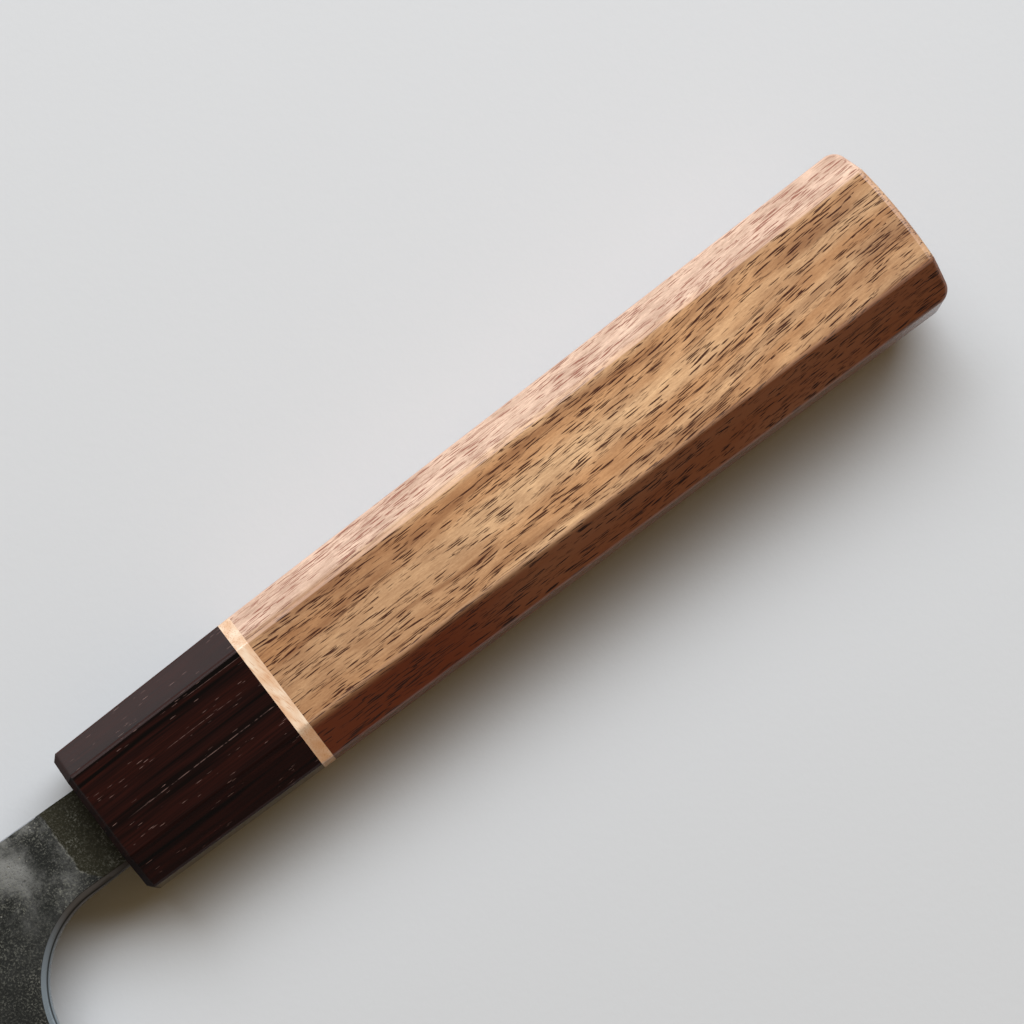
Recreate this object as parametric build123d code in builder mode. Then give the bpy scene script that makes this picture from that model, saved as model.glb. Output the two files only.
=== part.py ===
from build123d import *
import math
import os

# Nakiri, a Japanese vegetable knife, lying on its side as it rests on a table.
# Lengths are in millimetres and angles in degrees.
#
# The knife is drawn in a frame of its own. There x runs along the handle, from the ferrule's front face
# to the butt, y runs from the cutting edge towards the spine, and z = 0 is the middle of the blade's
# thickness. The section named Rest on the table lays that frame on the table, the XY plane of the part.

# Blade, seen from the side
blade_length = 165.0
blade_height = 50.0
neck_length = 19.4
neck_height = 12.3
neck_flare = 0.9
choil_radius = 13.5
edge_flat_length = 85.0
edge_rise = 1.8
front_upper_radius = 12.0
front_lower_radius = 2.5
spine_tilt = 1.7
spine_above_axis = 5.9

# Blade, in section
spine_thickness_heel = 3.0
spine_thickness_front = 2.0
face_taper = 1.65
edge_thickness = 0.2
bevel_height = 17.0
fine_bevel_angle = 15.0
edge_land = 0.04
choil_rounding = 0.6
spine_rounding = 0.18
neck_step_distance = 5.4
neck_step_depth = 0.08
neck_step_shares = (
    (1.22, -0.2),
    (1.09, 0.12),
    (0.98, 0.3),
    (1.06, 0.55),
    (1.03, 0.72),
    (0.7, 0.88),
    (0.45, 1.1),
)

# Layers of the blade
core_thickness_front = 0.6
core_thickness_neck = 0.9
core_thickness_tang_end = 0.6
layer_wave_height = 0.026
layer_wave_length = 32.0
layer_ripple_height = 0.012
layer_ripple_length = 14.0
layer_point_spacing = 5.0

# Tang, hidden in the handle
shoulder_depth = 7.5
tang_reach = 95.0
tang_root_height = 10.0
tang_end_height = 5.0
tang_root_thickness = 2.6
tang_end_thickness = 2.0
tang_lap = 1.5

# Handle: an octagon that swells quickly over the ferrule and slowly over the body
handle_length = 130.0
ferrule_length = 27.4
spacer_thickness = 1.8
height_front = 21.5
height_spacer = 22.5
height_butt = 24.4
width_front = 18.5
width_spacer = 19.1
width_butt = 20.5
side_height_front = 12.7
side_height_spacer = 13.1
side_height_butt = 15.1
rim_width_front = 9.5
rim_width_spacer = 10.0
rim_width_butt = 11.4
side_shift_front = 0.4
side_shift_spacer = 0.35
side_shift_butt = 0.17
handle_rounding = 0.8
butt_corner_rounding = 2.0
front_chamfer = 0.8
butt_dome_radius = 80.0
butt_crown_offset = 2.0

# Inside the handle
front_wall = 8.0
slot_clearance = 0.25
dowel_diameter = 12.0
dowel_solid_length = 5.6
dowel_glue_gap = 0.05
dowel_end_gap = 0.15
dowel_end_chamfer = 0.8
kerf_width = 3.2
kerf_end_gap = 1.2
bedding_recess = 0.3
bore_end_clearance = 0.4

# Overrun of cuts
overrun = 5.0

# Places that follow from the sizes above
heel_x = -neck_length
front_x = heel_x - blade_length
shinogi_y = -(blade_height - bevel_height)
body_start = ferrule_length + spacer_thickness
neck_centre_y = spine_above_axis - neck_height / 2
dowel_start = front_wall + dowel_end_gap
bore_radius = dowel_diameter / 2 + dowel_glue_gap
kerf_end = tang_reach + kerf_end_gap
dowel_end = kerf_end + dowel_solid_length


def along_blade(x, at_heel, at_front):
    # A size that changes steadily from the heel to the front of the blade.
    return at_heel + (at_front - at_heel) * (heel_x - x) / blade_length


def spine_half(x):
    # Half of the blade's thickness at the spine.
    return along_blade(x, spine_thickness_heel, spine_thickness_front) / 2


def shinogi_half(x):
    # Half of the blade's thickness at the shinogi, the ridge between the flat face and the bevel.
    # The flat faces lean towards each other and would lose the whole taper if they ran on to the edge.
    return spine_half(x) + face_taper / 2 * shinogi_y / blade_height


def waste_section(x):
    # A section of what is ground away on one side, from the shinogi to past the edge.
    edge_z = edge_thickness / 2
    past_edge_y = -blade_height - overrun
    return [
        (shinogi_y, shinogi_half(x)),
        (-blade_height, edge_z),
        (past_edge_y, edge_z),
        (past_edge_y, spine_thickness_heel),
        (shinogi_y, spine_thickness_heel),
    ]


def along_handle(x, at_front, at_spacer, at_butt):
    # A size of the octagon, which changes steadily on each side of the spacer's back face.
    if x <= body_start:
        return at_front + (at_spacer - at_front) * x / body_start
    return at_spacer + (at_butt - at_spacer) * (x - body_start) / (handle_length - body_start)


def handle_section(x):
    # The octagon across the handle. Its wide sides face up and down, a little towards the spine.
    height = along_handle(x, height_front, height_spacer, height_butt) / 2
    width = along_handle(x, width_front, width_spacer, width_butt) / 2
    side = along_handle(x, side_height_front, side_height_spacer, side_height_butt) / 2
    rim = along_handle(x, rim_width_front, rim_width_spacer, rim_width_butt) / 2
    shift = along_handle(x, side_shift_front, side_shift_spacer, side_shift_butt)
    upper = [(height, rim), (shift + side, width), (shift - side, width), (-height, rim)]
    lower = [(y, -z) for y, z in reversed(upper)]
    return upper + lower


# Rest on the table
# The blade outweighs the handle, so the knife tips forward and its butt stands clear of the table. It
# touches at the ferrule's lower front corner on the edge side, and along the straight part of the
# blade's front end. These points are in the knife's own frame.
blade_in_knife = Plane(
    origin=(0, spine_above_axis, 0),
    x_dir=(math.cos(math.radians(spine_tilt)), -math.sin(math.radians(spine_tilt)), 0),
    z_dir=(0, 0, 1),
)
touch_x = front_x + spine_rounding
front_touch = blade_in_knife.from_local_coords(Vector(touch_x, shinogi_y, -shinogi_half(touch_x)))
face_drop = blade_in_knife.from_local_coords(Vector(touch_x, 0, -spine_half(touch_x))) - front_touch
corner_y, corner_z = handle_section(front_chamfer)[5]
corner_set = handle_rounding * math.tan(math.radians(45 / 2))
ferrule_touch = Vector(front_chamfer, corner_y + corner_set, corner_z)
table_normal = (ferrule_touch - front_touch).cross(face_drop).normalized()
table = Plane(origin=front_touch, x_dir=(1, 0, 0), z_dir=table_normal)

# The part's origin is on the table, under the middle of the knife's outline.
heel_point = table.to_local_coords(blade_in_knife.from_local_coords(Vector(heel_x, -blade_height, 0)))
front_point = table.to_local_coords(
    blade_in_knife.from_local_coords(Vector(front_x, -blade_height + edge_rise + front_lower_radius, 0))
)
rim_y, rim_z = handle_section(handle_length - butt_corner_rounding)[7]
rim_point = table.to_local_coords(Vector(handle_length - butt_corner_rounding, rim_y, rim_z))
butt_point = table.to_local_coords(
    Vector(handle_length, -butt_crown_offset, -width_butt / 2 + handle_rounding)
)
middle = table.from_local_coords(
    Vector((front_point.X + butt_point.X) / 2, (heel_point.Y + rim_point.Y) / 2, 0)
)
table = Plane(origin=middle, x_dir=(1, 0, 0), z_dir=table_normal)
knife = Plane(table.location.inverse())
blade = Plane(knife.location * blade_in_knife.location)
handle_axis = Axis(knife.origin, knife.x_dir)
edge_to_spine = Axis(knife.origin, knife.y_dir)


def across(frame, x):
    # The plane across a frame's own x axis. A sketch on it has the frame's y for its x and z for its y.
    here = Plane(origin=(x, 0, 0), x_dir=(0, 1, 0), z_dir=(1, 0, 0))
    return Plane(frame.location * here.location)


def layer_line(side):
    # One face of the core, seen from above the spine. It tapers and wanders as forged steel does.
    start = front_x - overrun
    end = tang_reach + overrun
    count = round((end - start) / layer_point_spacing)
    points = []
    for i in range(count + 1):
        x = start + (end - start) * i / count
        thickness = core_thickness_neck
        if x < 0:
            thickness += (core_thickness_front - core_thickness_neck) * x / front_x
        else:
            thickness += (core_thickness_tang_end - core_thickness_neck) * x / tang_reach
        wave = layer_wave_height * math.sin(math.tau * x / layer_wave_length + side)
        ripple = layer_ripple_height * math.sin(math.tau * x / layer_ripple_length - 2 * side)
        points.append((x, side * (thickness / 2 + wave + ripple)))
    return points


# Blade blank
# All three layers in one piece, forged to a taper, ground on both sides and rounded at the fingers.
choil_corner = (heel_x, -neck_height - neck_flare)
heel_corner = (heel_x, -blade_height)
edge_flat_end = (heel_x - edge_flat_length, -blade_height)
front_corner = (front_x, -blade_height + edge_rise)
front_top = (front_x, 0)
shoulder_top = (shoulder_depth, 0)
shoulder_bottom = (shoulder_depth, -neck_height + neck_flare * shoulder_depth / neck_length)
side_view = Plane(blade.location * Plane(origin=(0, 0, 0), x_dir=(1, 0, 0), z_dir=(0, -1, 0)).location)

face_origin = Vector(heel_x, 0, spine_half(heel_x))
face_forward = Vector(front_x, 0, spine_half(front_x)) - face_origin
face_down = Vector(heel_x, shinogi_y, shinogi_half(heel_x)) - face_origin
upper_face = Plane(origin=face_origin, x_dir=face_forward, z_dir=face_forward.cross(face_down))
lower_face = Plane(
    origin=(face_origin.X, face_origin.Y, -face_origin.Z),
    x_dir=(face_forward.X, face_forward.Y, -face_forward.Z),
    z_dir=(-upper_face.z_dir.X, -upper_face.z_dir.Y, upper_face.z_dir.Z),
)


def on_blade(plane):
    # A plane of the blade's own frame, as it stands on the table.
    return Plane(blade.location * plane.location)


# What the grindstone takes away on the upper side.
with BuildPart() as bevel_waste:
    for x in (front_x - overrun, shoulder_depth + overrun):
        with BuildSketch(across(blade, x)):
            Polygon(*waste_section(x), align=None)
    loft(ruled=True)

with BuildSketch(blade) as outline:
    with BuildLine():
        Polyline(edge_flat_end, heel_corner, choil_corner, shoulder_bottom)
        Polyline(shoulder_bottom, shoulder_top, front_top, front_corner)
        TangentArc(edge_flat_end, front_corner, tangent=(-1, 0))
    make_face()
    fillet(outline.vertices().sort_by_distance(choil_corner)[0], radius=choil_radius)
    fillet(outline.vertices().sort_by_distance(front_top)[0], radius=front_upper_radius)

with BuildSketch(blade) as trimmed_outline:
    add(outline.sketch_local)
    fillet(trimmed_outline.vertices().sort_by_distance(front_corner)[0], radius=front_lower_radius)

# What the hammer takes off the neck beside the handle. The flat ends there in a low, uneven step.
with BuildPart() as neck_waste:
    with BuildSketch(on_blade(upper_face.offset(-neck_step_depth))) as neck_field:
        with BuildLine():
            corner = upper_face.to_local_coords(Vector(shoulder_depth + overrun, 0, 0))
            step_points = []
            for distance_share, height_share in neck_step_shares:
                step_point = Vector(-neck_step_distance * distance_share, -neck_height * height_share, 0)
                step_points.append(upper_face.to_local_coords(step_point))
            step = Spline(*[(point.X, point.Y) for point in step_points])
            Polyline(step @ 0, (corner.X, (step @ 0).Y), (corner.X, (step @ 1).Y), step @ 1)
        make_face()
    extrude(amount=spine_thickness_heel)

# The whetstone's fine bevel along the cutting edge, which leaves a lens-shaped space for the steel.
fine_bevel_taper = 90 - fine_bevel_angle
edge_drop = edge_land / 2 * math.tan(math.radians(fine_bevel_taper))
belly_length = blade_length - edge_flat_length
belly_radius = (belly_length**2 + edge_rise**2) / (2 * edge_rise)
belly_centre = (edge_flat_end[0], -blade_height + belly_radius)
belly_angle = math.degrees(math.asin((belly_length + blade_height) / belly_radius))

with BuildPart() as edge_space:
    with BuildSketch(blade) as edge_field:
        with BuildLine():
            belly = CenterArc(belly_centre, belly_radius + edge_drop, 270, -belly_angle)
            back_x = heel_x + blade_height
            Polyline(belly @ 0, (back_x, -blade_height - edge_drop), (back_x, blade_height))
            Polyline((back_x, blade_height), ((belly @ 1).X, blade_height), belly @ 1)
        make_face()
    extrude(amount=spine_thickness_heel, taper=fine_bevel_taper)
    mirror(about=blade)

with BuildPart() as blank:
    extrude(outline.sketch, amount=spine_thickness_heel, both=True)
    split(bisect_by=on_blade(upper_face), keep=Keep.BOTTOM)
    split(bisect_by=on_blade(lower_face), keep=Keep.TOP)

    choil_point = blade.from_local_coords(Vector(*choil_corner))
    choil_edges = blank.edges().filter_by(GeomType.ELLIPSE).sort_by_distance(choil_point)[:2]
    fillet(choil_edges, radius=choil_rounding)
    spine_edges = blank.edges().filter_by(GeomType.LINE).sort_by(SortBy.LENGTH)[-2:]
    fillet(spine_edges, radius=spine_rounding)

    add([bevel_waste.part, neck_waste.part], mode=Mode.SUBTRACT)
    mirror([bevel_waste.part, neck_waste.part], about=blade, mode=Mode.SUBTRACT)
    extrude(trimmed_outline.sketch, amount=spine_thickness_heel, both=True, mode=Mode.INTERSECT)
    add(edge_space.part, mode=Mode.INTERSECT)

    tang_sections = (
        (shoulder_depth - tang_lap, tang_root_height, tang_root_thickness),
        (tang_reach, tang_end_height, tang_end_thickness),
    )
    for x, height, thickness in tang_sections:
        with BuildSketch(across(knife, x)):
            with Locations((neck_centre_y, 0)):
                Rectangle(height, thickness)
    loft()

# Core steel
# The hard middle layer: it shows below the wavy line on each bevel, where it forms the edge.
with BuildPart() as core_steel:
    with BuildSketch(side_view):
        with BuildLine():
            upper = Spline(*layer_line(1))
            lower = Spline(*layer_line(-1))
            Line(upper @ 0, lower @ 0)
            Line(upper @ 1, lower @ 1)
        make_face()
    extrude(amount=blade_height + overrun, both=True)
    add(blank.part, mode=Mode.INTERSECT)

# Claddings
# The soft outer layers, forged onto the core. The left one is on the upper side as the knife lies.
with BuildPart() as left_cladding:
    with BuildSketch(side_view):
        with BuildLine():
            inner = Spline(*layer_line(1))
            outer_front = (front_x - overrun, spine_thickness_heel)
            outer_back = (tang_reach + overrun, spine_thickness_heel)
            Polyline(inner @ 0, outer_front, outer_back, inner @ 1)
        make_face()
    extrude(amount=blade_height + overrun, both=True)
    add(blank.part, mode=Mode.INTERSECT)

with BuildPart() as right_cladding:
    with BuildSketch(side_view):
        with BuildLine():
            inner = Spline(*layer_line(-1))
            outer_front = (front_x - overrun, -spine_thickness_heel)
            outer_back = (tang_reach + overrun, -spine_thickness_heel)
            Polyline(inner @ 0, outer_front, outer_back, inner @ 1)
        make_face()
    extrude(amount=blade_height + overrun, both=True)
    add(blank.part, mode=Mode.INTERSECT)

# Ferrule
# Dark hardwood with a slot for the neck in its front wall and a bore for the dowel behind it.
slot_height = neck_height + 2 * slot_clearance
slot_width = spine_thickness_heel + 2 * slot_clearance

with BuildPart() as ferrule:
    for x in (0, ferrule_length):
        with BuildSketch(across(knife, x)):
            Polygon(*handle_section(x), align=None)
    loft(ruled=True)
    chamfer(ferrule.faces().sort_by(handle_axis)[0].edges(), length=front_chamfer)
    fillet(ferrule.edges().sort_by(SortBy.LENGTH)[-8:], radius=handle_rounding)
    with BuildSketch(across(knife, 0)):
        with Locations((neck_centre_y, 0)):
            Rectangle(slot_height, slot_width)
    extrude(amount=front_wall, mode=Mode.SUBTRACT)
    with BuildSketch(across(knife, front_wall)):
        Circle(bore_radius)
    extrude(amount=ferrule_length - front_wall, mode=Mode.SUBTRACT)

# Spacer
# A thin ring of pale wood between ferrule and body.
with BuildPart() as spacer:
    for x in (ferrule_length, body_start):
        with BuildSketch(across(knife, x)):
            Polygon(*handle_section(x), align=None)
    loft(ruled=True)
    fillet(spacer.edges().sort_by(SortBy.LENGTH)[:8], radius=handle_rounding)
    with BuildSketch(across(knife, ferrule_length)):
        Circle(bore_radius)
    extrude(amount=spacer_thickness, mode=Mode.SUBTRACT)

# Handle body
# Brown hardwood with a blind bore for the dowel and a slightly domed butt with rounded corners.
with BuildPart() as handle_body:
    for x in (body_start, handle_length):
        with BuildSketch(across(knife, x)):
            Polygon(*handle_section(x), align=None)
    loft(ruled=True)
    with BuildSketch(knife):
        with Locations((handle_length - butt_dome_radius, -butt_crown_offset)):
            Circle(butt_dome_radius)
    extrude(amount=width_butt, both=True, mode=Mode.INTERSECT)
    butt_edges = handle_body.faces().sort_by(handle_axis)[-1].edges().sort_by(edge_to_spine)
    fillet([butt_edges[0], butt_edges[-1]], radius=butt_corner_rounding)
    butt_edges = handle_body.faces().sort_by(handle_axis)[-1].edges().sort_by(edge_to_spine)
    facet_edges = handle_body.edges().sort_by(SortBy.LENGTH)[-8:]
    fillet(facet_edges + butt_edges[1:-1], radius=handle_rounding)
    with BuildSketch(across(knife, body_start)):
        Circle(bore_radius)
    extrude(amount=dowel_end + bore_end_clearance - body_start, mode=Mode.SUBTRACT)

# Dowel
# A round pin that lines up ferrule, spacer and body, sawn along from its front end to take the tang.
with BuildPart() as dowel:
    with BuildSketch(across(knife, dowel_start)):
        Circle(dowel_diameter / 2)
    extrude(amount=dowel_end - dowel_start)
    chamfer(dowel.edges().filter_by(GeomType.CIRCLE), length=dowel_end_chamfer)
    with BuildSketch(across(knife, dowel_start)):
        Rectangle(dowel_diameter, kerf_width)
    extrude(amount=kerf_end - dowel_start, mode=Mode.SUBTRACT)

# Tang bedding
# Resin that fills the ferrule's slot and the dowel's kerf round the neck and the tang.
with BuildPart() as tang_bedding:
    with BuildSketch(across(knife, bedding_recess)):
        with Locations((neck_centre_y, 0)):
            Rectangle(slot_height, slot_width)
    extrude(amount=front_wall - bedding_recess)
    with BuildSketch(across(knife, front_wall)):
        Circle(dowel_diameter / 2 - dowel_end_chamfer)
        Rectangle(dowel_diameter, kerf_width, mode=Mode.INTERSECT)
    extrude(amount=kerf_end - front_wall)
    add(blank.part, mode=Mode.SUBTRACT)

core_steel.part.label = "core_steel"
left_cladding.part.label = "left_cladding"
right_cladding.part.label = "right_cladding"
ferrule.part.label = "ferrule"
spacer.part.label = "spacer"
handle_body.part.label = "handle_body"
dowel.part.label = "dowel"
tang_bedding.part.label = "tang_bedding"

os.makedirs("parts", exist_ok=True)
export_step(core_steel.part, "parts/core_steel.step")
export_step(left_cladding.part, "parts/left_cladding.step")
export_step(right_cladding.part, "parts/right_cladding.step")
export_step(ferrule.part, "parts/ferrule.step")
export_step(spacer.part, "parts/spacer.step")
export_step(handle_body.part, "parts/handle_body.step")
export_step(dowel.part, "parts/dowel.step")
export_step(tang_bedding.part, "parts/tang_bedding.step")
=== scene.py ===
from math import radians

import bpy
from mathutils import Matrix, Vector

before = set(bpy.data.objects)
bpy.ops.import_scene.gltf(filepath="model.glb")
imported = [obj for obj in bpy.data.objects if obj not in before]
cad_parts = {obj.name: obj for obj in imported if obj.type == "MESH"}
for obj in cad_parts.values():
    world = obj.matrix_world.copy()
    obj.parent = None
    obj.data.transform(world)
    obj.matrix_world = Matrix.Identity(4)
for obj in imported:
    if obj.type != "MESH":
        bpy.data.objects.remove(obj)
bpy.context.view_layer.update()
print("knife loaded:", ", ".join(sorted(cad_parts)))

# How the handle and the blade lie on the table. With these a material reads its place in millimetres: x along
# the handle or the blade, y from the edge towards the spine, and z up through the thickness.
lie = {
    "handleOrigin": (0.0275779, 0.0156101, 0.00929565),
    "handleTurn": (0.8674, -2.6358, 0.0),
    "bladeOrigin": (0.0275738, 0.0215094, 0.00938487),
    "bladeTurn": (0.9453, -2.6089, -1.7016),
    "bladeUp": (-0.045983, -0.015139, 0.998828),
    # where the top of the octagon turns into the facet with painted sheen, and into the one with painted shade
    "paintedSheenFacet": (6.9, 8.2),
    "paintedShadeFacet": (-6.2, -7.5),
}


def rgb(red, green, blue):
    # colour picker numbers, 0 to 255, as the shader's own
    parts = [value / 255 for value in (red, green, blue)]
    return [p / 12.92 if p <= 0.04045 else ((p + 0.055) / 1.055) ** 2.4 for p in parts] + [1.0]


def join(tree, node, inputs):
    # each input gets a value, or another node's output that is joined to it
    for name, value in inputs.items():
        if isinstance(value, bpy.types.NodeSocket):
            tree.links.new(value, node.inputs[name])
        else:
            node.inputs[name].default_value = value


def addNode(tree, kind, inputs=None, **settings):
    node = tree.nodes.new("ShaderNode" + kind)
    for name, value in settings.items():
        setattr(node, name, value)
    join(tree, node, inputs or {})
    return node


def useGroup(tree, group, inputs):
    return addNode(tree, "Group", inputs, node_tree=group).outputs


def calc(tree, operation, *values):
    return addNode(tree, "Math", dict(enumerate(values)), operation=operation).outputs[0]


def highest(tree, first, *others):
    for value in others:
        first = calc(tree, "MAXIMUM", first, value)
    return first


def calcVector(tree, operation, *values):
    return addNode(tree, "VectorMath", dict(enumerate(values)), operation=operation).outputs[0]


def scaled(tree, vector, factor):
    return addNode(tree, "VectorMath", {0: vector, "Scale": factor}, operation="SCALE").outputs[0]


def dotProduct(tree, first, second):
    return addNode(tree, "VectorMath", {0: first, 1: second}, operation="DOT_PRODUCT").outputs["Value"]


def split(tree, vector):
    return addNode(tree, "SeparateXYZ", {"Vector": vector}).outputs


def mixNumber(tree, share, first, second):
    return addNode(tree, "Mix", {0: share, 2: first, 3: second}).outputs[0]


def mixColour(tree, share, first, second):
    return addNode(tree, "Mix", {0: share, 6: first, 7: second}, data_type="RGBA").outputs[2]


def painted(tree, ground, layers):
    # one colour after another over the ground, each by its share
    for share, colour in layers:
        ground = mixColour(tree, share, ground, colour)
    return ground


def fade(tree, value, start, end, low=0.0, high=1.0):
    # a soft step: low at start, high at end
    inputs = {0: value, 1: start, 2: end, 3: low, 4: high}
    return addNode(tree, "MapRange", inputs, interpolation_type="SMOOTHSTEP").outputs[0]


def noise(tree, place, scale, detail=2.0, roughness=0.5, output="Fac"):
    inputs = {"Vector": place, "Scale": scale, "Detail": detail, "Roughness": roughness}
    return addNode(tree, "TexNoise", inputs, noise_dimensions="3D").outputs[output]


def stretched(tree, place, length, width):
    # the place measured in lengths along the grain and widths across it
    size = addNode(tree, "CombineXYZ", {"X": length, "Y": width, "Z": width}).outputs[0]
    return calcVector(tree, "DIVIDE", place, size)


def longNoise(tree, place, length, width, detail=2.0, roughness=0.5, output="Fac"):
    return noise(tree, stretched(tree, place, length, width), 1.0, detail, roughness, output)


def cellChance(tree, cells):
    # one number from 0 to 1 for each cell, apart from where its point lies
    return calc(tree, "FRACT", dotProduct(tree, cells["Color"], (37.1, 17.3, 53.9)))


def newGroup(name, inputs, outputs):
    group = bpy.data.node_groups.new(name, "ShaderNodeTree")
    for label, kind, value in inputs:
        socket = group.interface.new_socket(label, in_out="INPUT", socket_type="NodeSocket" + kind)
        if value is not None:
            socket.default_value = value
    for label in outputs:
        kind = "NodeSocketVector" if label == "Place" else "NodeSocketFloat"
        group.interface.new_socket(label, in_out="OUTPUT", socket_type=kind)
    start = group.nodes.new("NodeGroupInput")
    end = group.nodes.new("NodeGroupOutput")
    return group, start.outputs, end.inputs


def makeGrainFlow():
    # bends the straight grain a little, as wood grows
    inputs = [
        ("Place", "Vector", None),
        ("Sway", "Float", 1.0),
        ("Length", "Float", 50.0),
        ("Width", "Float", 9.0),
    ]
    group, given, result = newGroup("grainFlow", inputs, ["Place"])
    swing = longNoise(group, given["Place"], given["Length"], given["Width"], 1.0, output="Color")
    swing = calcVector(group, "SUBTRACT", swing, (0.5, 0.5, 0.5))
    # only across the grain
    swing = calcVector(group, "MULTIPLY", swing, (0.0, 1.0, 1.0))
    swing = scaled(group, swing, given["Sway"])
    group.links.new(calcVector(group, "ADD", given["Place"], swing), result["Place"])
    return group


def makeWoodFigure():
    # broad bands of colour and the fine fibres in them
    inputs = [
        ("Place", "Vector", None),
        ("Band Length", "Float", 70.0),
        ("Band Width", "Float", 4.0),
        ("Fibre Length", "Float", 6.0),
        ("Fibre Width", "Float", 0.25),
    ]
    group, given, result = newGroup("woodFigure", inputs, ["Bands", "Fibres"])
    bands = longNoise(group, given["Place"], given["Band Length"], given["Band Width"], 3.0)
    fibres = longNoise(group, given["Place"], given["Fibre Length"], given["Fibre Width"])
    group.links.new(fade(group, bands, 0.32, 0.68), result["Bands"])
    group.links.new(fibres, result["Fibres"])
    return group


def makeWoodPores():
    # short slender dashes along the grain, thick in some patches and thin in others
    shape = {
        "cell": 0.7,
        "patches": (0.38, 0.64),
        "thinToThick": (0.06, 2.1),
        "uneven": 0.5,
        "unevenScale": 1.7,
        "rim": (0.66, 0.5),
    }
    inputs = [
        ("Place", "Vector", None),
        ("Length", "Float", 2.2),
        ("Width", "Float", 0.22),
        ("Share", "Float", 0.5),
        ("Patch Length", "Float", 16.0),
        ("Patch Width", "Float", 1.6),
        ("Extra", "Float", 0.0),
    ]
    group, given, result = newGroup("woodPores", inputs, ["Pores"])
    cellLength = calc(group, "DIVIDE", given["Length"], shape["cell"])
    cellWidth = calc(group, "DIVIDE", given["Width"], shape["cell"])
    cells = addNode(
        group,
        "TexVoronoi",
        {"Vector": stretched(group, given["Place"], cellLength, cellWidth), "Scale": 1.0, "Randomness": 1.0},
        voronoi_dimensions="3D",
        feature="F1",
    ).outputs
    patches = longNoise(group, given["Place"], given["Patch Length"], given["Patch Width"])
    wanted = fade(group, patches, *shape["patches"], *shape["thinToThick"])
    wanted = calc(group, "ADD", calc(group, "MULTIPLY", wanted, given["Share"]), given["Extra"])
    chosen = calc(group, "LESS_THAN", cellChance(group, cells), wanted)
    uneven = stretched(group, given["Place"], given["Length"], cellWidth)
    uneven = noise(group, uneven, shape["unevenScale"], 1.0)
    spread = calc(group, "ADD", cells["Distance"], calc(group, "MULTIPLY", uneven, shape["uneven"]))
    dash = fade(group, spread, *shape["rim"])
    group.links.new(calc(group, "MULTIPLY", dash, chosen), result["Pores"])
    return group


def makeWoodStreak():
    # one dark line in the wood, at a given place, that thins out towards its ends
    inputs = [
        ("Place", "Vector", None),
        ("From", "Float", 0.0),
        ("To", "Float", 10.0),
        ("Height", "Float", 0.0),
        ("Slope", "Float", 0.0),
        ("Width", "Float", 0.5),
    ]
    group, given, result = newGroup("woodStreak", inputs, ["Streak"])
    axes = split(group, given["Place"])
    done = calc(group, "SUBTRACT", axes[0], given["From"])
    share = calc(group, "DIVIDE", done, calc(group, "SUBTRACT", given["To"], given["From"]))
    rise = calc(group, "MULTIPLY", done, given["Slope"])
    away = calc(group, "SUBTRACT", calc(group, "SUBTRACT", axes[1], given["Height"]), rise)
    away = calc(group, "DIVIDE", calc(group, "ABSOLUTE", away), given["Width"])
    ends = calc(group, "MULTIPLY", fade(group, share, 0.0, 0.2), fade(group, share, 1.0, 0.8))
    group.links.new(calc(group, "MULTIPLY", fade(group, away, 1.0, 0.1), ends), result["Streak"])
    return group


def makeLacquerFilm():
    # the slightly uneven film over the wood
    inputs = [("Place", "Vector", None), ("Ripple", "Float", 1.4)]
    group, given, result = newGroup("lacquerFilm", inputs, ["Ripple", "Smears"])
    rippled = scaled(group, given["Place"], given["Ripple"])
    group.links.new(noise(group, rippled, 1.0), result["Ripple"])
    group.links.new(longNoise(group, given["Place"], 12.0, 5.0, 3.0), result["Smears"])
    return group


def makeRoundedEdge():
    # the rounded edges of the octagon, found by the way the surface faces
    inputs = [("Facing", "Vector", None), ("Up", "Vector", None)]
    group, given, result = newGroup("roundedEdge", inputs, ["Edge"])
    lean = calc(group, "ABSOLUTE", dotProduct(group, given["Facing"], given["Up"]))
    upperEdge = calc(group, "MULTIPLY", fade(group, lean, 0.73, 0.78), fade(group, lean, 0.9995, 0.992))
    sideEdge = calc(group, "MULTIPLY", fade(group, lean, 0.03, 0.15), fade(group, lean, 0.67, 0.6))
    group.links.new(highest(group, upperEdge, sideEdge), result["Edge"])
    return group


def makeGrindMarks():
    # fine scratches that run one way, and the haze between them
    inputs = [("Place", "Vector", None), ("Length", "Float", 9.0), ("Width", "Float", 0.06)]
    group, given, result = newGroup("grindMarks", inputs, ["Marks", "Haze"])
    marks = longNoise(group, given["Place"], given["Length"], given["Width"], 3.0, 0.65)
    group.links.new(marks, result["Marks"])
    group.links.new(longNoise(group, given["Place"], 30.0, 7.0, 3.0), result["Haze"])
    return group


grainFlow = makeGrainFlow()
woodFigure = makeWoodFigure()
woodPores = makeWoodPores()
woodStreak = makeWoodStreak()
lacquerFilm = makeLacquerFilm()
roundedEdge = makeRoundedEdge()
grindMarks = makeGrindMarks()
print("node groups made:", len(bpy.data.node_groups))


def newMaterial(name, origin, turn):
    # an empty Principled material, the place on the knife in millimetres, and the way the surface faces
    material = bpy.data.materials.new(name)
    material.use_nodes = True
    tree = material.node_tree
    tree.nodes.clear()
    shader = addNode(tree, "BsdfPrincipled")
    output = addNode(tree, "OutputMaterial", {"Surface": shader.outputs[0]})
    output.is_active_output = True
    coordinates = addNode(tree, "TexCoord").outputs
    mapping = addNode(
        tree,
        "Mapping",
        {
            "Vector": coordinates["Object"],
            "Location": origin,
            "Rotation": [radians(angle) for angle in turn],
            "Scale": (0.001, 0.001, 0.001),
        },
        vector_type="TEXTURE",
    )
    return material, tree, shader, mapping.outputs[0], coordinates["Normal"]


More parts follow.
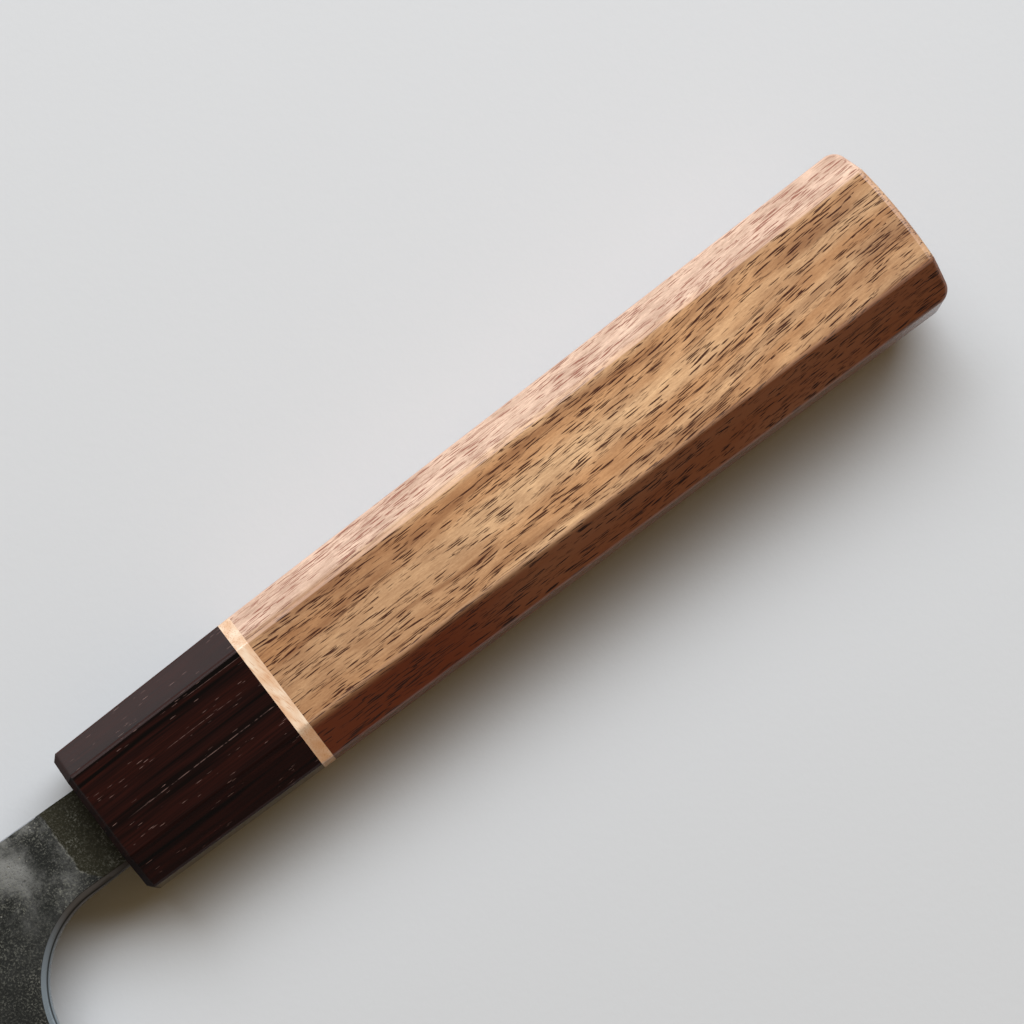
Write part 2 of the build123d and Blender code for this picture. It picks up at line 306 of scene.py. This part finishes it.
def bumpy(tree, height, distance):
    # distance is the height of the bumps in millimetres
    inputs = {"Height": height, "Distance": distance / 1000, "Strength": 1.0}
    return addNode(tree, "Bump", inputs).outputs[0]


def lacquered(tree, place):
    # the film's ripple and smears, and the roughness of the wood under it
    film = useGroup(tree, lacquerFilm, {"Place": place, "Ripple": 1.6})
    return film, fade(tree, film["Smears"], 0.3, 0.7, 0.42, 0.55)


def findEdges(tree, facing):
    return useGroup(tree, roundedEdge, {"Facing": facing, "Up": lie["bladeUp"]})["Edge"]


# Handle body: brown open-pored hardwood under satin lacquer, with painted sheen on the facet on the spine's
# side and darker wood deepened with painted shade on the facet on the edge's side
brownWood = {
    "light": rgb(248, 205, 158),
    "middle": rgb(212, 160, 113),
    "dark": rgb(122, 74, 44),
    "paintedSheenSide": rgb(255, 222, 200),
    "paintedShadeSide": rgb(98, 34, 2),
    "pore": rgb(60, 24, 17),
    "poreInPaintedShade": rgb(30, 10, 4),
    "poreInPaintedSheen": rgb(150, 90, 70),
    "paintedEdgeHighlight": rgb(240, 200, 178),
    "sway": {"Sway": 1.6, "Length": 40.0, "Width": 6.0},
    "flutter": {"Sway": 0.7, "Length": 9.0, "Width": 2.0},
    "climb": -3.6,
    "figure": {"Band Length": 60.0, "Band Width": 3.6, "Fibre Length": 5.0, "Fibre Width": 0.3},
    "pores": {"Length": 3.0, "Width": 0.18, "Share": 0.72, "Patch Length": 11.0, "Patch Width": 1.5},
    "finePores": {"Length": 1.5, "Width": 0.12, "Share": 0.4, "Patch Length": 22.0, "Patch Width": 1.0},
    "longPores": {"Length": 9.0, "Width": 0.13, "Share": 0.3, "Patch Length": 30.0, "Patch Width": 0.9},
    "poreDepth": 0.03,
    "lacquer": 0.6,
    "lacquerRoughness": 0.16,
    "wornLacquer": 0.35,
    "wornRoughness": 0.36,
    # how far the darkening by the ferrule and at the butt, and the deeper painted shade on the dark facet by
    # the ferrule, reaches along the handle, and its share
    "ferruleShade": (70.0, 48.0, 0.0, 0.36),
    "buttShade": (100.0, 126.0, 0.0, 0.25),
    "deeperPaintedShadeReach": (66.0, 48.0, 0.0, 0.75),
    # from, to, height, slope, width, each in millimetres along and across the handle
    "streaks": [
        (27.0, 52.0, 1.9, 0.085, 0.7),
        (29.0, 50.0, 6.9, -0.03, 1.5),
        (48.0, 84.0, 4.2, 0.045, 1.0),
        (44.0, 64.0, -2.1, -0.05, 0.6),
        (57.0, 78.0, -4.7, -0.05, 0.9),
        (76.0, 96.0, 6.6, -0.08, 1.4),
        (95.0, 121.0, 5.4, 0.1, 0.8),
        (94.0, 122.0, -3.4, 0.075, 0.9),
        (80.0, 98.0, -5.2, -0.04, 1.2),
        (112.0, 127.0, 4.4, 0.02, 1.5),
        (120.0, 134.0, -2.0, 0.05, 2.2),
    ],
}


def makeStreaks(tree, flow, streaks):
    names = ("From", "To", "Height", "Slope", "Width")
    made = [useGroup(tree, woodStreak, {"Place": flow, **dict(zip(names, streak))})[0] for streak in streaks]
    return highest(tree, *made)


def makeBrownWood():
    material, tree, shader, place, facing = newMaterial("brownWood", lie["handleOrigin"], lie["handleTurn"])
    along, across, _ = split(tree, place)
    flow = useGroup(tree, grainFlow, {"Place": place, **brownWood["sway"]})["Place"]
    flow = useGroup(tree, grainFlow, {"Place": flow, **brownWood["flutter"]})["Place"]
    streaks = makeStreaks(tree, flow, brownWood["streaks"])
    # the grain climbs towards the spine's side near the butt
    climb = fade(tree, along, 72.0, 132.0, 0.0, brownWood["climb"])
    flow = calcVector(tree, "ADD", flow, addNode(tree, "CombineXYZ", {"Y": climb}).outputs[0])
    figure = useGroup(tree, woodFigure, {"Place": flow, **brownWood["figure"]})
    pores = useGroup(tree, woodPores, {"Place": flow, "Extra": streaks, **brownWood["pores"]})[0]
    finePores = useGroup(tree, woodPores, {"Place": flow, **brownWood["finePores"]})[0]
    longPores = useGroup(tree, woodPores, {"Place": flow, **brownWood["longPores"]})[0]
    # darker by the ferrule and at the butt, painted sheen on one side and painted shade on the other
    atFerrule = fade(tree, along, *brownWood["ferruleShade"])
    towardsEnds = calc(tree, "ADD", atFerrule, fade(tree, along, *brownWood["buttShade"]))
    paintedSheenSide = fade(tree, across, *lie["paintedSheenFacet"])
    paintedShadeSide = fade(tree, across, *lie["paintedShadeFacet"])
    deeperPaintedShade = calc(tree, "MULTIPLY", paintedShadeSide, fade(tree, along, *brownWood["deeperPaintedShadeReach"]))
    mottle = longNoise(tree, flow, 5.0, 2.6)
    grain = longNoise(tree, place, 0.5, 0.11, 1.0)
    # pores drawn paler under the painted sheen and darker in the painted shade
    poreTone = mixColour(tree, paintedSheenSide, brownWood["pore"], brownWood["poreInPaintedSheen"])
    poreTone = mixColour(tree, paintedShadeSide, poreTone, brownWood["poreInPaintedShade"])
    edge = findEdges(tree, facing)
    ground = painted(
        tree,
        mixColour(tree, figure["Bands"], brownWood["middle"], brownWood["light"]),
        [
            (towardsEnds, brownWood["dark"]),
            # painted sheen: the facet on the spine's side drawn paler
            (calc(tree, "MULTIPLY", paintedSheenSide, 0.85), brownWood["paintedSheenSide"]),
            # painted shade: the facet on the edge's side drawn darker, over wood that is also darker there
            (calc(tree, "MULTIPLY", paintedShadeSide, 0.9), brownWood["paintedShadeSide"]),
            (calc(tree, "MULTIPLY", streaks, 0.45), brownWood["dark"]),
            (fade(tree, figure["Fibres"], 0.25, 0.75, 0.0, 0.3), brownWood["dark"]),
            (fade(tree, mottle, 0.35, 0.7, 0.0, 0.28), brownWood["dark"]),
            (fade(tree, grain, 0.3, 0.7, 0.0, 0.2), brownWood["dark"]),
            # deeper painted shade on the dark facet by the ferrule
            (deeperPaintedShade, brownWood["paintedShadeSide"]),
            (calc(tree, "MULTIPLY", finePores, 0.6), poreTone),
            (calc(tree, "MULTIPLY", longPores, 0.7), poreTone),
            (calc(tree, "MULTIPLY", pores, 0.95), poreTone),
            # painted highlight along the rounded edges, stronger towards the spine's side
            (calc(tree, "MULTIPLY", edge, fade(tree, across, -7.0, 2.0, 0.1, 0.32)), brownWood["paintedEdgeHighlight"]),
        ],
    )
    film, roughness = lacquered(tree, place)
    height = calc(tree, "SUBTRACT", calc(tree, "MULTIPLY", film["Ripple"], 0.25), pores)
    inputs = {
        "Base Color": ground,
        "Roughness": roughness,
        "Coat Weight": fade(tree, edge, 0.0, 1.0, brownWood["lacquer"], brownWood["wornLacquer"]),
        "Coat Roughness": fade(tree, edge, 0.0, 1.0, brownWood["lacquerRoughness"], brownWood["wornRoughness"]),
        "Specular IOR Level": 0.05,
        "Normal": bumpy(tree, height, brownWood["poreDepth"]),
    }
    join(tree, shader, inputs)
    return material


# Ferrule: very dark reddish hardwood with black streaks and short pale pores
darkWood = {
    "brown": rgb(30, 14, 12),
    "red": rgb(49, 20, 15),
    "black": rgb(12, 8, 7),
    "pore": rgb(124, 98, 92),
    "paintedEdgeHighlight": rgb(78, 50, 46),
    "sway": {"Sway": 0.8, "Length": 40.0, "Width": 5.0},
    "figure": {"Band Length": 60.0, "Band Width": 1.5, "Fibre Length": 7.0, "Fibre Width": 0.18},
    "pores": {"Length": 1.0, "Width": 0.085, "Share": 0.05, "Patch Length": 12.0, "Patch Width": 1.0},
    "poreDepth": 0.025,
    "lacquer": 0.85,
    "lacquerRoughness": 0.12,
    "wornLacquer": 0.25,
    "wornRoughness": 0.36,
    # from, to, height, slope and width of long open pores
    "cracks": [
        (3.0, 32.0, -1.9, 0.0, 0.075),
        (12.0, 26.0, 2.1, 0.0, 0.06),
        (18.0, 28.0, 5.9, 0.0, 0.05),
    ],
    # height, slope, width, share and colour
    "bands": [
        (9.6, 0.0, 3.4, 0.9, "red"),
        (2.7, 0.0, 1.5, 0.8, "red"),
        (6.6, 0.0, 0.7, 0.8, "black"),
        (-1.5, -0.01, 0.8, 0.8, "black"),
        (-4.2, 0.01, 1.3, 0.4, "red"),
    ],
}


def makeDarkWood():
    material, tree, shader, place, facing = newMaterial("darkWood", lie["handleOrigin"], lie["handleTurn"])
    along, across, _ = split(tree, place)
    flow = useGroup(tree, grainFlow, {"Place": place, **darkWood["sway"]})["Place"]
    figure = useGroup(tree, woodFigure, {"Place": flow, **darkWood["figure"]})
    palePores = useGroup(tree, woodPores, {"Place": flow, **darkWood["pores"]})[0]
    palePores = calc(tree, "MULTIPLY", palePores, fade(tree, noise(tree, place, 0.9, 1.0), 0.3, 0.65, 0.2, 1.0))
    cracks = makeStreaks(tree, flow, darkWood["cracks"])
    cracks = calc(tree, "MULTIPLY", cracks, fade(tree, longNoise(tree, flow, 1.0, 0.5), 0.34, 0.6))
    palePores = highest(tree, palePores, calc(tree, "MULTIPLY", cracks, 0.8))
    blackBands = fade(tree, longNoise(tree, flow, 50.0, 0.9), 0.5, 0.66)
    bands = []
    for height, slope, width, share, colour in darkWood["bands"]:
        band = makeStreaks(tree, flow, [(-8.0, 38.0, height, slope, width)])
        bands.append((calc(tree, "MULTIPLY", band, share), darkWood[colour]))
    edge = findEdges(tree, facing)
    # the chamfer by the blade is dull, and painted dark as shade
    frontEdge = fade(tree, along, 1.3, 0.3)
    dulled = highest(tree, edge, frontEdge)
    ground = painted(
        tree,
        mixColour(tree, figure["Bands"], darkWood["brown"], darkWood["red"]),
        [
            (blackBands, darkWood["black"]),
            *bands,
            (fade(tree, figure["Fibres"], 0.3, 0.75, 0.0, 0.6), darkWood["black"]),
            (palePores, darkWood["pore"]),
            # painted highlight along the rounded edges, stronger towards the spine's side
            (calc(tree, "MULTIPLY", edge, fade(tree, across, -7.0, 2.0, 0.0, 0.35)), darkWood["paintedEdgeHighlight"]),
            # painted shade on the chamfer by the blade
            (calc(tree, "MULTIPLY", frontEdge, 0.5), darkWood["black"]),
        ],
    )
    film, roughness = lacquered(tree, place)
    height = calc(tree, "SUBTRACT", calc(tree, "MULTIPLY", film["Ripple"], 0.3), palePores)
    inputs = {
        "Base Color": ground,
        "Roughness": roughness,
        "Coat Weight": fade(tree, dulled, 0.0, 1.0, darkWood["lacquer"], darkWood["wornLacquer"]),
        "Coat Roughness": fade(tree, dulled, 0.0, 1.0, darkWood["lacquerRoughness"], darkWood["wornRoughness"]),
        "Specular IOR Level": 0.0,
        "Normal": bumpy(tree, height, darkWood["poreDepth"]),
    }
    join(tree, shader, inputs)
    return material


# Spacer: cream hardwood with a faint cross figure, and painted shade on the facet on the edge's side
paleWood = {
    "cream": rgb(248, 223, 196),
    "tan": rgb(232, 190, 154),
    "fleck": rgb(205, 150, 108),
    "paintedShadeSide": rgb(222, 150, 84),
    "figureTurn": 78.0,
    "figure": {"Band Length": 3.0, "Band Width": 1.4, "Fibre Length": 1.3, "Fibre Width": 0.16},
    "lacquer": (1.0, 0.85),
    "lacquerRoughness": 0.18,
}


def makePaleWood():
    material, tree, shader, place, _ = newMaterial("paleWood", lie["handleOrigin"], lie["handleTurn"])
    rotation = (0.0, 0.0, radians(paleWood["figureTurn"]))
    turned = addNode(tree, "Mapping", {"Vector": place, "Rotation": rotation}).outputs[0]
    figure = useGroup(tree, woodFigure, {"Place": turned, **paleWood["figure"]})
    # painted shade on the facet on the edge's side
    paintedShadeSide = fade(tree, split(tree, place)[1], *lie["paintedShadeFacet"], 0.0, 0.45)
    ground = painted(
        tree,
        mixColour(tree, figure["Bands"], paleWood["cream"], paleWood["tan"]),
        [
            (fade(tree, figure["Fibres"], 0.5, 0.72, 0.0, 0.7), paleWood["fleck"]),
            (paintedShadeSide, paleWood["paintedShadeSide"]),
        ],
    )
    film, roughness = lacquered(tree, place)
    inputs = {
        "Base Color": ground,
        "Roughness": roughness,
        "Coat Weight": fade(tree, film["Smears"], 0.3, 0.7, *paleWood["lacquer"]),
        "Coat Roughness": paleWood["lacquerRoughness"],
        "Specular IOR Level": 0.15,
        "Normal": bumpy(tree, film["Ripple"], 0.008),
    }
    join(tree, shader, inputs)
    return material


# Claddings: dark forge scale on the flats, an olive, pitted field by the handle, and ground steel on the
# bevels, the spine, the finger notch and the blunt end
forgedSteel = {
    "scale": rgb(138, 137, 133),
    "scaleDark": rgb(34, 34, 31),
    "neck": rgb(46, 43, 28),
    "sparkle": rgb(120, 119, 109),
    "pit": rgb(150, 148, 138),
    "ground": rgb(178, 181, 185),
    "groundMark": rgb(120, 122, 125),
    # the finger notch's painted reflection: bluish away from the handle, brown towards it
    "notch": rgb(140, 153, 162),
    "notchPaintedReflectionBrown": rgb(60, 49, 36),
    "bevelStart": -33.0,
    "notchCentre": (-5.9, -26.09),
    "notchRadius": 13.5,
    "notchBand": 1.1,
    "notchLine": 0.28,
    # heights and places along the blade between which the step of the neck's field slants
    "step": (-13.5, -8.6, -2.4, -5.6),
    "scaleMetallic": 0.45,
    "bumpHeight": 0.07,
}


def fromNotch(tree, along, across):
    # how far in from the finger notch: an arc that runs on straight at both ends
    centreAlong, centreAcross = forgedSteel["notchCentre"]
    beyondAlong = calc(tree, "MAXIMUM", calc(tree, "SUBTRACT", centreAlong, along), 0.0)
    beyondAcross = calc(tree, "MAXIMUM", calc(tree, "SUBTRACT", across, centreAcross), 0.0)
    beyond = addNode(tree, "CombineXYZ", {"X": beyondAlong, "Y": beyondAcross}).outputs[0]
    away = addNode(tree, "VectorMath", {0: beyond}, operation="LENGTH").outputs["Value"]
    return calc(tree, "SUBTRACT", away, forgedSteel["notchRadius"])


def softEdge(tree, value, limit, softness):
    # 0 below the limit and 1 above it, and the other way round with a softness below 0
    return fade(tree, value, limit - softness, limit + softness)


def distanceFrom(tree, value, middle):
    return calc(tree, "ABSOLUTE", calc(tree, "SUBTRACT", value, middle))


def makeForgedSteel():
    material, tree, shader, place, facing = newMaterial("forgedSteel", lie["bladeOrigin"], lie["bladeTurn"])
    along, across, _ = split(tree, place)
    lean = calc(tree, "ABSOLUTE", dotProduct(tree, facing, lie["bladeUp"]))
    sideFace = fade(tree, lean, 0.985, 0.93)
    bevel = softEdge(tree, across, forgedSteel["bevelStart"], -0.12)
    inward = fromNotch(tree, along, across)
    notch = softEdge(tree, inward, forgedSteel["notchBand"], -0.06)
    bare = highest(tree, sideFace, bevel, notch)

    # forge scale: clouds and grit, darker away from the spine
    cloud = noise(tree, place, 0.16, 4.0, 0.6)
    grit = noise(tree, place, 3.4, 4.0, 0.75)
    speckled = fade(tree, noise(tree, place, 0.28), 0.35, 0.65, 0.35, 1.0)
    sparkle = calc(tree, "MULTIPLY", fade(tree, grit, 0.49, 0.68), speckled)

    # the field by the handle, with a broken pale rim along its step
    wobble = calc(tree, "MULTIPLY", calc(tree, "SUBTRACT", noise(tree, place, 0.9), 0.5), 0.7)
    stepPlace = fade(tree, across, *forgedSteel["step"])
    fromStep = calc(tree, "SUBTRACT", calc(tree, "ADD", along, wobble), stepPlace)
    neckField = softEdge(tree, fromStep, 0.0, 0.15)
    broken = fade(tree, noise(tree, place, 2.4, 3.0, 0.7), 0.46, 0.64)
    stepRim = calc(tree, "MULTIPLY", fade(tree, distanceFrom(tree, fromStep, -0.1), 0.2, 0.04), broken)

    # pits: a few round spots, more of them near the step
    spots = addNode(
        tree, "TexVoronoi", {"Vector": place, "Scale": 1.5}, voronoi_dimensions="3D", feature="F1"
    ).outputs
    nearStep = fade(tree, distanceFrom(tree, fromStep, 0.7), 1.5, 0.4, 0.0, 0.22)
    spotShare = calc(tree, "ADD", fade(tree, noise(tree, place, 0.35, 1.0), 0.5, 0.7, 0.0, 0.4), nearStep)
    spotChosen = calc(tree, "LESS_THAN", cellChance(tree, spots), spotShare)
    pit = calc(tree, "MULTIPLY", fade(tree, spots["Distance"], 0.26, 0.14), spotChosen)

    scale = painted(
        tree,
        mixColour(tree, fade(tree, cloud, 0.35, 0.65), forgedSteel["scaleDark"], forgedSteel["scale"]),
        [
            (fade(tree, across, -2.0, -16.0, 0.05, 0.96), forgedSteel["scaleDark"]),
            (neckField, forgedSteel["neck"]),
            (fade(tree, grit, 0.47, 0.36, 0.0, 0.5), forgedSteel["scaleDark"]),
            (sparkle, forgedSteel["sparkle"]),
            (calc(tree, "MULTIPLY", pit, 0.6), forgedSteel["pit"]),
            (calc(tree, "MULTIPLY", stepRim, 0.55), forgedSteel["pit"]),
        ],
    )

    # bare steel: ground, duller along the notch, with a painted reflection there, brown towards the handle and
    # bluish further off
    marks = useGroup(tree, grindMarks, {"Place": place})
    # painted reflection along the finger notch
    notchPaintedReflection = mixColour(tree, fade(tree, along, -20.5, -9.0), forgedSteel["notch"], forgedSteel["notchPaintedReflectionBrown"])
    notchLine = fade(tree, distanceFrom(tree, inward, forgedSteel["notchLine"]), 0.16, 0.04, 0.0, 0.8)
    bareColour = painted(
        tree,
        forgedSteel["ground"],
        [
            (fade(tree, marks["Marks"], 0.35, 0.7, 0.0, 0.35), forgedSteel["groundMark"]),
            (fade(tree, inward, 2.0, 1.5, 0.0, 0.9), notchPaintedReflection),
            (notchLine, forgedSteel["scaleDark"]),
        ],
    )
    polished = calc(tree, "MULTIPLY", bare, fade(tree, inward, 1.5, 2.0))

    scaleHeight = calc(tree, "ADD", calc(tree, "MULTIPLY", grit, 0.6), cloud)
    scaleHeight = calc(tree, "SUBTRACT", scaleHeight, calc(tree, "MULTIPLY", pit, 0.8))
    height = mixNumber(tree, bare, scaleHeight, calc(tree, "MULTIPLY", marks["Marks"], 0.05))
    scaleRoughness = fade(tree, grit, 0.3, 0.7, 0.42, 0.62)
    bareRoughness = fade(tree, marks["Haze"], 0.3, 0.7, 0.26, 0.36)
    inputs = {
        "Base Color": mixColour(tree, bare, scale, bareColour),
        "Metallic": fade(tree, polished, 0.0, 1.0, forgedSteel["scaleMetallic"], 1.0),
        "Specular IOR Level": 0.25,
        "Roughness": mixNumber(tree, bare, scaleRoughness, bareRoughness),
        "Normal": bumpy(tree, height, forgedSteel["bumpHeight"]),
    }
    join(tree, shader, inputs)
    return material


# Core steel: harder and brighter, ground and polished
coreSteel = {
    "bright": rgb(196, 200, 205),
    "mark": rgb(150, 153, 158),
    "marks": {"Length": 12.0, "Width": 0.04},
    "markDepth": 0.004,
}


def makeCoreSteel():
    material, tree, shader, place, _ = newMaterial("coreSteel", lie["bladeOrigin"], lie["bladeTurn"])
    marks = useGroup(tree, grindMarks, {"Place": place, **coreSteel["marks"]})
    marked = fade(tree, marks["Marks"], 0.4, 0.7, 0.0, 0.4)
    inputs = {
        "Base Color": mixColour(tree, marked, coreSteel["bright"], coreSteel["mark"]),
        "Metallic": 1.0,
        "Roughness": fade(tree, marks["Haze"], 0.3, 0.7, 0.16, 0.26),
        "Normal": bumpy(tree, marks["Marks"], coreSteel["markDepth"]),
    }
    join(tree, shader, inputs)
    return material


# Dowel: plain turned beech inside the handle
dowelWood = {
    "pale": rgb(203, 165, 124),
    "fleck": rgb(160, 115, 78),
    "figure": {"Band Length": 30.0, "Band Width": 2.0, "Fibre Length": 1.6, "Fibre Width": 0.12},
    "fibreDepth": 0.02,
}


def makeDowelWood():
    material, tree, shader, place, _ = newMaterial("dowelWood", lie["handleOrigin"], lie["handleTurn"])
    figure = useGroup(tree, woodFigure, {"Place": place, **dowelWood["figure"]})
    layers = [
        (fade(tree, figure["Bands"], 0.0, 1.0, 0.0, 0.3), dowelWood["fleck"]),
        (fade(tree, figure["Fibres"], 0.5, 0.7, 0.0, 0.8), dowelWood["fleck"]),
    ]
    inputs = {
        "Base Color": painted(tree, dowelWood["pale"], layers),
        "Roughness": fade(tree, figure["Fibres"], 0.3, 0.7, 0.6, 0.75),
        "Normal": bumpy(tree, figure["Fibres"], dowelWood["fibreDepth"]),
    }
    join(tree, shader, inputs)
    return material


# Bedding: dark resin with a few dull patches
resin = {"dark": rgb(44, 38, 32), "dull": rgb(62, 55, 47), "patchDepth": 0.03}


def makeResin():
    material, tree, shader, place, _ = newMaterial("resin", lie["handleOrigin"], lie["handleTurn"])
    patches = noise(tree, place, 0.8, 3.0)
    inputs = {
        "Base Color": mixColour(tree, fade(tree, patches, 0.4, 0.7), resin["dark"], resin["dull"]),
        "Roughness": fade(tree, patches, 0.3, 0.7, 0.45, 0.65),
        "Normal": bumpy(tree, patches, resin["patchDepth"]),
    }
    join(tree, shader, inputs)
    return material


cladding = makeForgedSteel()
finishes = {
    "core_steel": makeCoreSteel(),
    "left_cladding": cladding,
    "right_cladding": cladding,
    "ferrule": makeDarkWood(),
    "spacer": makePaleWood(),
    "handle_body": makeBrownWood(),
    "dowel": makeDowelWood(),
    "tang_bedding": makeResin(),
}
for name, material in finishes.items():
    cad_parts[name].material_slots[0].material = material
print("finishes given to", len(finishes), "pieces")

# Table: plain and pale
table = {"colour": rgb(206, 208, 211), "roughness": 0.7, "size": 6.0, "grainScale": 900.0, "grainDepth": 0.02}


def makeFloor():
    bpy.ops.mesh.primitive_plane_add(size=table["size"], location=(0, 0, 0))
    floor = bpy.context.object
    floor.name = "tableTop"
    material = bpy.data.materials.new("tableTop")
    material.use_nodes = True
    tree = material.node_tree
    place = addNode(tree, "TexCoord").outputs["Object"]
    inputs = {
        "Base Color": table["colour"],
        "Roughness": table["roughness"],
        "Normal": bumpy(tree, noise(tree, place, table["grainScale"]), table["grainDepth"]),
    }
    join(tree, tree.nodes["Principled BSDF"], inputs)
    floor.data.materials.append(material)
    return floor


floor = makeFloor()

# Light: one large soft window from the spine's side and the butt's end
light = {
    "place": (0.5, 0.58, 1.06),
    "aim": (0.08, 0.0, 0.0),
    "width": 1.5,
    "height": 0.82,
    "power": 23.0,
    "colour": (0.91, 0.955, 1.0),
}


def makeWindow():
    windowData = bpy.data.lights.new("window", "AREA")
    windowData.shape = "RECTANGLE"
    windowData.size = light["width"]
    windowData.size_y = light["height"]
    windowData.energy = light["power"]
    windowData.color = light["colour"]
    window = bpy.data.objects.new("window", windowData)
    bpy.context.scene.collection.objects.link(window)
    window.location = light["place"]
    beam = Vector(light["aim"]) - Vector(light["place"])
    window.rotation_euler = beam.to_track_quat("-Z", "Y").to_euler()


# Room: a little warm light from all round, and the brighter side that the lacquer mirrors
room = {
    "colour": (1.0, 0.7, 0.35, 1.0),
    "strength": 0.2,
    "seenBright": (0.85, 0.88, 0.92, 1.0),
    "seenDim": (0.05, 0.045, 0.04, 1.0),
}


def makeRoom():
    world = bpy.data.worlds.new("room")
    bpy.context.scene.world = world
    world.use_nodes = True
    tree = world.node_tree
    tree.nodes.clear()
    path = addNode(tree, "LightPath").outputs
    seen = highest(tree, path["Is Camera Ray"], path["Is Glossy Ray"], path["Is Transmission Ray"])
    _, sideways, upwards = split(tree, addNode(tree, "TexCoord").outputs["Generated"])
    brightSide = calc(
        tree, "MULTIPLY", fade(tree, sideways, -0.6, 0.6, 0.03, 1.0), fade(tree, upwards, 0.75, 0.1)
    )
    backdropColour = mixColour(tree, brightSide, room["seenDim"], room["seenBright"])
    around = addNode(tree, "Background", {"Color": room["colour"], "Strength": room["strength"]})
    backdrop = addNode(tree, "Background", {"Color": backdropColour, "Strength": 1.0})
    mixed = addNode(tree, "MixShader", {0: seen, 1: around.outputs[0], 2: backdrop.outputs[0]})
    addNode(tree, "OutputWorld", {"Surface": mixed.outputs[0]})


makeWindow()
makeRoom()
print("table, window and room made")

# Camera: from almost straight above, turned so that the handle rises to the right
camera = {
    "place": (0.0266, -0.0441, 0.6618),
    "turn": (7.7883, -1.5497, -37.3155),
    "lens": 176.6,
    "sensor": 36.0,
    "clipStart": 0.01,
}


def makeCamera():
    cameraData = bpy.data.cameras.new("camera")
    cameraData.sensor_width = camera["sensor"]
    cameraData.lens = camera["lens"]
    cameraData.clip_start = camera["clipStart"]
    cameraObject = bpy.data.objects.new("camera", cameraData)
    bpy.context.scene.collection.objects.link(cameraObject)
    cameraObject.location = camera["place"]
    cameraObject.rotation_euler = [radians(angle) for angle in camera["turn"]]
    bpy.context.scene.camera = cameraObject


makeCamera()
bpy.context.scene.view_settings.view_transform = "Standard"
